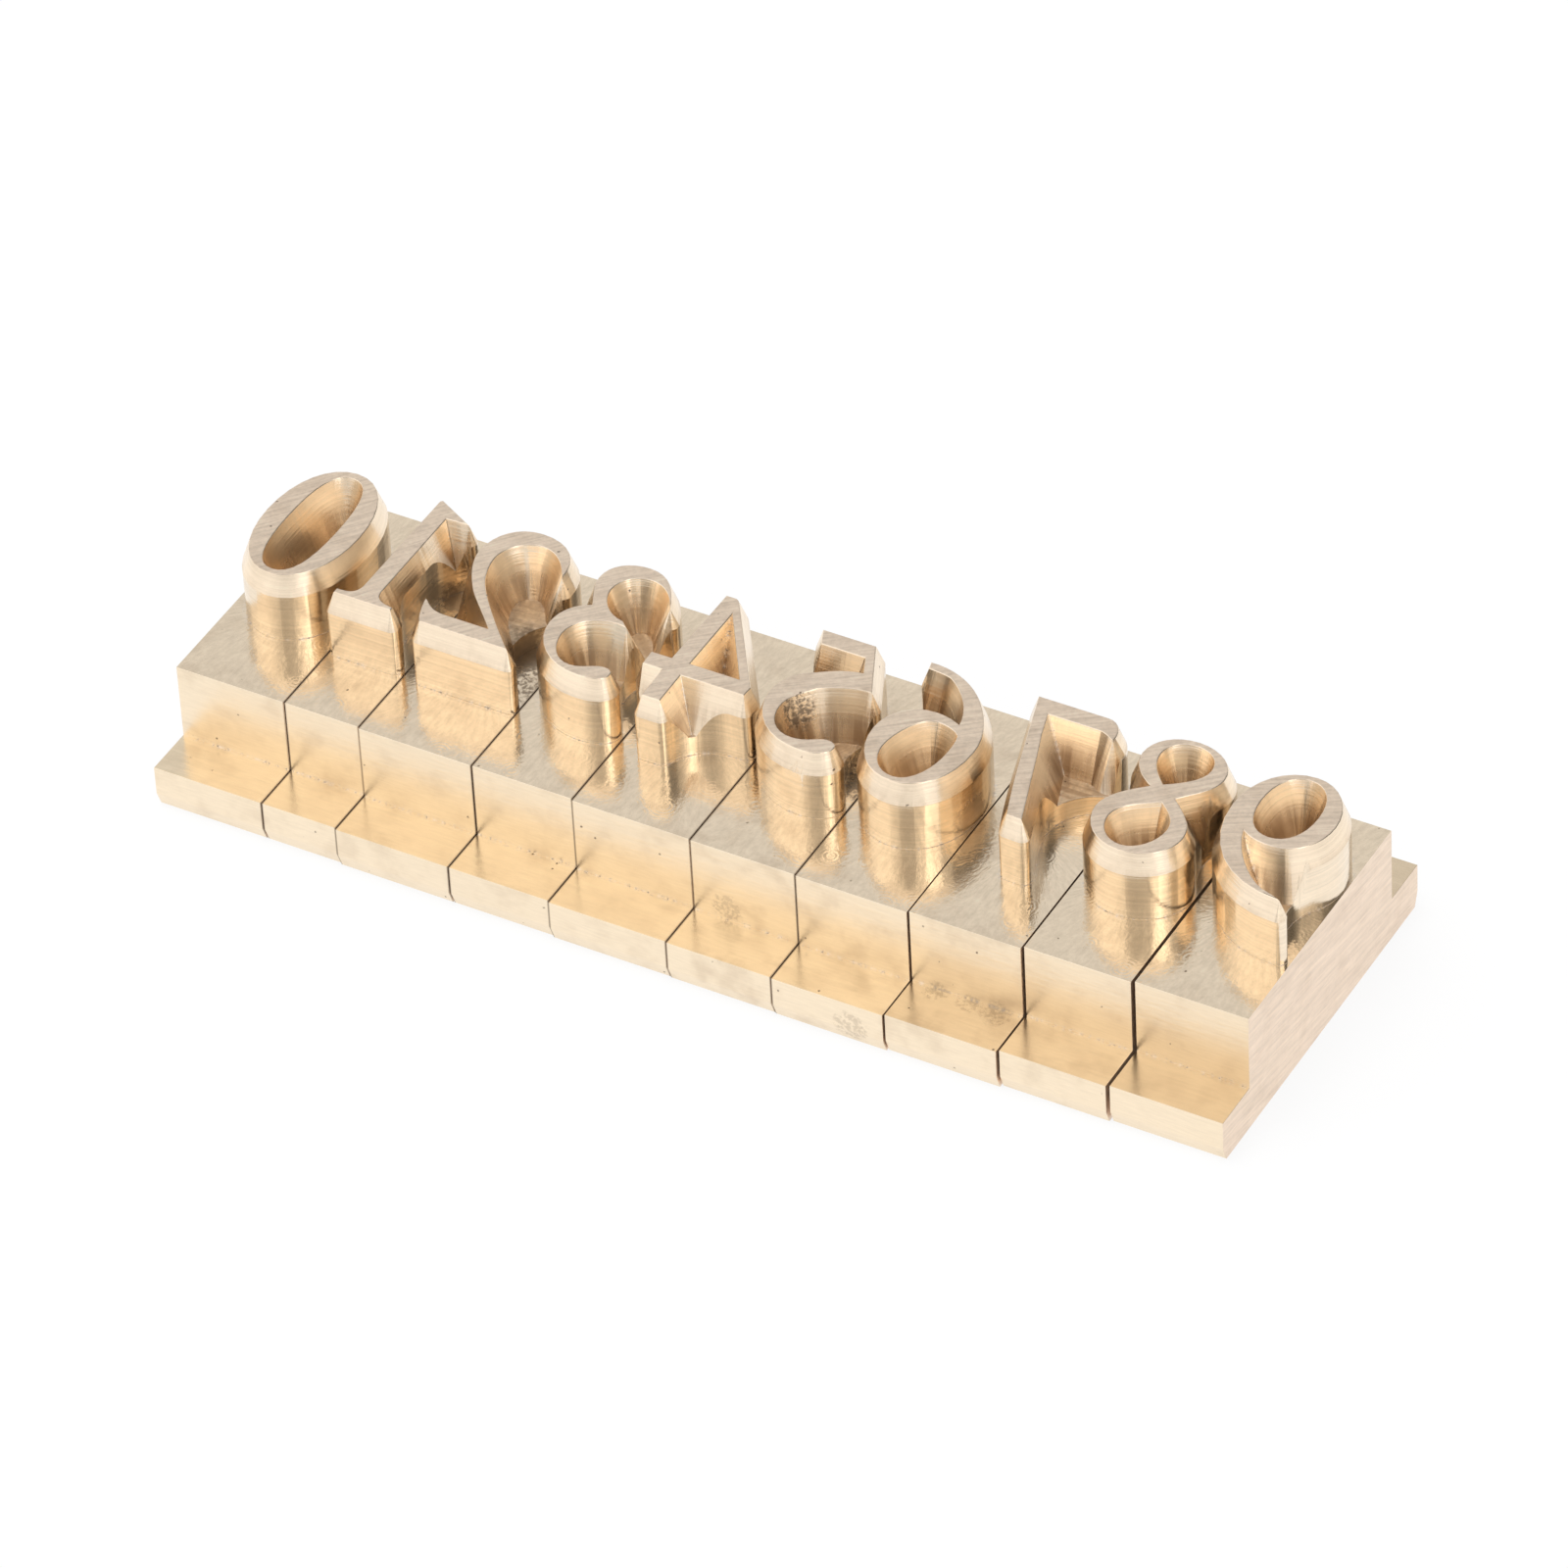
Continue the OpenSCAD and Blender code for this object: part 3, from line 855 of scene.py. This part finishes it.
def make_smoothing_group(name, long_facet, rounds):
    """Geometry group that evens out the normals of curved walls, and leaves flats and sharp edges alone."""
    group, given, out = geometry_group(name)
    turn = add(group, "GeometryNodeInputMeshEdgeAngle").outputs["Unsigned Angle"]
    _, run = edge_ends(group)
    _, rise = edge_course(group, run)
    upright = above(group, rise, UPRIGHT_RISE)
    long_edge = product(group, above(group, measured(group, "LENGTH", run), long_facet),
                        inverse(group, upright))
    long_edge = on_domain(group, "EDGE", long_edge)
    long_face = on_domain(group, "FACE", above(group, long_edge, ANY))
    most = blend_values(group, upright, SMOOTH_LEVEL, SMOOTH_UPRIGHT)
    most = blend_values(group, above(group, long_face, SOME), most, SMOOTH_BY_FLAT)
    sharp = above(group, turn, most)
    faces = add(group, "GeometryNodeSetShadeSmooth", {"Geometry": given["Geometry"]}, domain="FACE")
    split = add(group, "GeometryNodeSplitEdges", {"Mesh": faces.outputs[0], "Selection": sharp})

    even = even_normals(group, long_edge, rounds)
    flat = on_domain(group, "FACE", add(group, "GeometryNodeInputNormal").outputs["Normal"], "FLOAT_VECTOR")
    agreement = measured(group, "DOT_PRODUCT", even, flat)
    misfit = on_domain(group, "CORNER", below(group, agreement, LEAST_AGREEMENT))
    misfit = above(group, on_domain(group, "FACE", misfit), SOME)
    noted = add(group, "GeometryNodeStoreNamedAttribute", {
        "Geometry": split.outputs[0], "Name": "plain_facet", "Value": misfit,
    }, data_type="FLOAT", domain="FACE")
    plain = add(group, "GeometryNodeInputNamedAttribute", {"Name": "plain_facet"}, data_type="FLOAT")
    plain = plain.outputs[0]
    shaded = add(group, "GeometryNodeSetMeshNormal", {
        "Mesh": noted.outputs[0], "Custom Normal": blend_vectors(group, plain, even, flat),
    }, mode="FREE", domain="CORNER")
    joined = add(group, "GeometryNodeMergeByDistance", {
        "Geometry": shaded.outputs[0], "Distance": REJOIN_REACH,
    })
    ridge = largest(group, sharp, above(group, on_domain(group, "EDGE", plain), SOME))
    marked = add(group, "GeometryNodeSetShadeSmooth", {
        "Geometry": joined.outputs[0], "Selection": ridge, "Shade Smooth": False,
    }, domain="EDGE")
    return put_out(group, out, {"Geometry": marked.outputs[0]})


def finish_mesh(stamp, joining, weights, smoothing):
    """Cleans the mesh of a stamp with modifiers, breaks its sharp edges and shades its curves smooth."""
    weld = stamp.modifiers.new("weld", "WELD")
    weld.merge_threshold = WELD_REACH
    stamp.modifiers.new("narrow_facets", "NODES").node_group = joining
    flats = stamp.modifiers.new("flats", "DECIMATE")
    flats.decimate_type = "DISSOLVE"
    flats.angle_limit = FLAT_TURN
    stamp.modifiers.new("edge_weights", "NODES").node_group = weights
    edge = stamp.modifiers.new("edge_break", "BEVEL")
    edge.width = EDGE_BREAK
    edge.segments = 2
    edge.limit_method = "WEIGHT"
    edge.use_clamp_overlap = False
    stamp.modifiers.new("smooth", "NODES").node_group = smoothing


def level_faces(stamp):
    """Heights of the level upper faces of a stamp, in mm: foot, body, pocket floor and face."""
    areas = {}
    for polygon in stamp.data.polygons:
        if polygon.normal.z > STRAIGHT_UP:
            height = round(polygon.center.z / MM, 2)
            areas[height] = areas.get(height, 0) + polygon.area / MM**2
    return sorted(height for height, area in areas.items() if area > LEAST_LEVEL_AREA)


def seam_ends():
    """Where each block ends along X, in mm. Ends that are free or by a wide gap are moved out of reach."""
    ends = {}
    for number in FIGURES:
        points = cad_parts[f"stamp_{number}"].data.vertices
        on_foot = [point.co.x for point in points if point.co.z < FOOT_SLICE]
        ends[number] = [min(on_foot) / MM, max(on_foot) / MM]
    for left, right in zip(FIGURES, FIGURES[1:]):
        if ends[right][0] - ends[left][1] > WIDEST_MARKED_SEAM:
            ends[left][1] += OUT_OF_REACH
            ends[right][0] -= OUT_OF_REACH
    ends[FIGURES[0]][0] -= OUT_OF_REACH
    ends[FIGURES[-1]][1] += OUT_OF_REACH
    return ends


# ---------------------------------------------------------------- brass

def patch_mask(tree, groups, place, middle, patches):
    """All patches of a stamp together, of grime and of painted shade."""
    result = 0.0
    for x, y, z, size, kind in patches:
        mask, share = PATCHES[kind]
        patch = use_group(tree, groups["patch"], {
            "Place": place, "Centre": (middle[0] + x, middle[1] + y, z), "Size": size,
        })
        result = largest(tree, product(tree, patch[mask], share), result)
    return result


def make_brass(number, groups, middle, ends):
    """Machined brass for one stamp, with its own brush marks, pits, grime and tarnish, and painted shade
    and highlights.
    """
    look = LOOKS[number]
    material = bpy.data.materials.new(f"brass_{number}")
    material.use_nodes = True
    tree = material.node_tree
    shader = tree.nodes["Principled BSDF"]
    shader.inputs["Metallic"].default_value = 1.0

    coordinates = add(tree, "ShaderNodeTexCoord").outputs
    facing = coordinates["Normal"]
    place = scaled(tree, coordinates["Object"], 1 / MM)
    zones = use_group(tree, groups["zones"], {"Place": place, "Facing": facing})
    marks = use_group(tree, groups["marks"], {
        "Place": place,
        "Middle": middle,
        "Facing": facing,
        "Brush turn": math.radians(look["brush"]),
        **chosen(zones, *FINISHES),
    })
    swirls = use_group(tree, groups["swirls"], {"Place": place})
    pits = use_group(tree, groups["pits"], {"Place": place, "Share": look["pits"]})
    corners = use_group(tree, groups["corner"], {"Place": place})
    # Painted shade along the narrow seams
    seams = use_group(tree, groups["seam"], {
        "Place": place,
        "Low end": ends[0],
        "High end": ends[1],
        **chosen(zones, *SEAM_ZONES),
    })
    # How tarnished the brass is, with painted shade and painted streaks of reflection in the counters
    tarnish = use_group(tree, groups["tarnish"], {
        "Place": place,
        "Streaks": marks["Streaks"],
        "Clouds": look["tarnish"],
        "Counters": look["counter"],
        "Foot": look["foot"],
        **chosen(zones, *TARNISH_AND_SHADE_ZONES),
    })
    # Painted highlight and painted shade, with grime and pits, over the brass
    grime_shade_and_highlight = use_group(tree, groups["grime_shade_and_highlight"], {
        "Place": place,
        "Corners": corners["Mask"],
        "Patches": patch_mask(tree, groups, place, middle, look["patches"]),
        "Pits": pits["Mask"],
        "Seams": seams["Mask"],
        **chosen(zones, "Face"),
    })
    finish = use_group(tree, groups["finish"], {
        "Tone": marks["Tone"],
        "Tarnished and shaded": tarnish["Share"],
        "Painted highlight": grime_shade_and_highlight["Painted highlight"],
        "Grime and shade": grime_shade_and_highlight["Grime and shade"],
        **chosen(zones, *FINISHES),
    })
    relief = total(tree, marks["Height"], product(tree, swirls["Height"], zones["Top"], SWIRL_DEPTH))
    bump = add(tree, "ShaderNodeBump", {"Height": relief, "Strength": 1.0, "Distance": MARK_DEPTH})
    feed(tree, shader.inputs["Base Color"], finish["Colour"])
    feed(tree, shader.inputs["Roughness"], finish["Roughness"])
    feed(tree, shader.inputs["Normal"], bump.outputs[0])
    return material


def dress_stamps():
    """Gives every stamp its modifiers and its own brass."""
    levels = level_faces(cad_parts["stamp_2"])
    groups = {
        "zones": make_zones_group(levels),
        "marks": make_marks_group(),
        "swirls": make_swirls_group(),
        "pits": make_pits_group(),
        "corner": make_corner_group(),
        "patch": make_patch_group(),
        "seam": make_seam_group(),
        "tarnish": make_tarnish_and_shade_group(levels[-1]),
        "grime_shade_and_highlight": make_grime_shade_and_highlight_group(),
        "finish": make_finish_group(),
    }
    body_top = levels[1] * MM
    joining = make_joining_group(body_top)
    weights = {}
    smoothing = {}
    for kind, facet in LONG_FACET.items():
        weights[kind] = make_edge_group(f"edge_break_{kind}", body_top, kind == "straight")
        smoothing[kind] = make_smoothing_group(f"even_normals_{kind}", facet, EVEN_ROUNDS[kind])
    ends = seam_ends()
    for number in FIGURES:
        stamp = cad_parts[f"stamp_{number}"]
        low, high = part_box(f"stamp_{number}")
        middle = tuple((low + high) / 2 / MM)
        kind = "straight" if number in STRAIGHT_FIGURES else "round"
        finish_mesh(stamp, joining, weights[kind], smoothing[kind])
        stamp.data.materials.clear()
        stamp.data.materials.append(make_brass(number, groups, middle, ends[number]))


# ---------------------------------------------------------------- studio

def make_world():
    """Studio walls: bright at the left front, brightest at the right front, dark at the right."""
    world = bpy.data.worlds.new("studio")
    world.use_nodes = True
    bpy.context.scene.world = world
    tree = world.node_tree
    tree.nodes.clear()
    parts = parts_of(tree, add(tree, "ShaderNodeTexCoord").outputs["Generated"])
    bearing = maths(tree, "ARCTAN2", parts["X"], product(tree, parts["Y"], -1.0))
    turn = maths(tree, "FRACT", maths(tree, "DIVIDE", bearing, math.tau))
    walls = add(tree, "ShaderNodeValToRGB", {"Fac": turn})
    set_stops(walls.color_ramp, WALL_LEVELS)
    levels = add(tree, "ShaderNodeSeparateColor", {0: walls.outputs["Color"]}).outputs
    level = blend_values(tree, step(tree, parts["Z"], *WALL_START), levels[0], levels[1])
    level = blend_values(tree, step(tree, parts["Z"], *CEILING_START), level, CEILING_LEVEL)
    seen = add(tree, "ShaderNodeLightPath").outputs["Is Camera Ray"]
    strength = blend_values(tree, seen, product(tree, level, BRIGHTEST), 1.0)
    back = add(tree, "ShaderNodeBackground", {"Color": (1, 1, 1, 1), "Strength": strength})
    out = add(tree, "ShaderNodeOutputWorld")
    feed(tree, out.inputs["Surface"], back.outputs[0])


def set_stops(ramp, levels):
    """Puts the two levels of each azimuth into the red and green of a colour ramp."""
    for _ in levels[2:]:
        ramp.elements.new(0.5)
    for stop, level in zip(ramp.elements, levels):
        stop.position = level[0] / 360
    for stop, level in zip(ramp.elements, levels):
        stop.color = (level[1] / BRIGHTEST, level[2] / BRIGHTEST, 0, 1)


def make_floor():
    """Plain white floor that still takes a shadow."""
    bpy.ops.mesh.primitive_plane_add(size=FLOOR_SIZE, location=(0, 0, -FLOOR_DROP))
    floor = bpy.context.object
    floor.name = "floor"
    material = bpy.data.materials.new("floor_white")
    material.use_nodes = True
    tree = material.node_tree
    tree.nodes.clear()
    rays = add(tree, "ShaderNodeLightPath").outputs
    seen = total(tree, rays["Is Camera Ray"], rays["Is Glossy Ray"], rays["Is Transmission Ray"])
    share = product(tree, maths(tree, "MINIMUM", seen, 1.0), FLOOR_GLOW)
    paint = add(tree, "ShaderNodeBsdfDiffuse", {"Color": (FLOOR_PAINT, FLOOR_PAINT, FLOOR_PAINT, 1)})
    glow = add(tree, "ShaderNodeEmission", {"Color": (1, 1, 1, 1), "Strength": 1.0})
    mix = add(tree, "ShaderNodeMixShader", {0: share, 1: paint.outputs[0], 2: glow.outputs[0]})
    out = add(tree, "ShaderNodeOutputMaterial")
    feed(tree, out.inputs["Surface"], mix.outputs[0])
    floor.data.materials.append(material)


def make_floor_lamp():
    """Soft lamp overhead that the metal doesn't mirror: it only lights the floor and casts the shadow."""
    lamp = bpy.data.objects.new("floor_lamp", bpy.data.lights.new("floor_lamp", "AREA"))
    lamp.data.shape = "DISK"
    lamp.data.size = LAMP_SIZE
    lamp.data.energy = LAMP_POWER
    lamp.visible_glossy = False
    lamp.location = LAMP_PLACE
    bpy.context.scene.collection.objects.link(lamp)


def make_camera():
    """Long lens, looking down on the row from its right front."""
    camera = bpy.data.objects.new("camera", bpy.data.cameras.new("camera"))
    bpy.context.scene.collection.objects.link(camera)
    azimuth, elevation, roll = (math.radians(turn) for turn in CAMERA_TURNS)
    back = Vector((
        math.sin(azimuth) * math.cos(elevation),
        -math.cos(azimuth) * math.cos(elevation),
        math.sin(elevation),
    ))
    look = (-back).to_track_quat("-Z", "Y").to_matrix()
    place = Matrix.Translation(Vector(CAMERA_PLACE) * MM)
    camera.matrix_world = place @ (look @ Matrix.Rotation(roll, 3, "Z")).to_4x4()
    camera.data.sensor_width = SENSOR_WIDTH
    camera.data.lens = LENS
    camera.data.clip_start = NEAREST_SEEN
    camera.data.clip_end = FURTHEST_SEEN
    bpy.context.scene.camera = camera


dress_stamps()
make_world()
make_floor()
make_floor_lamp()
make_camera()
bpy.context.scene.view_settings.view_transform = "Standard"
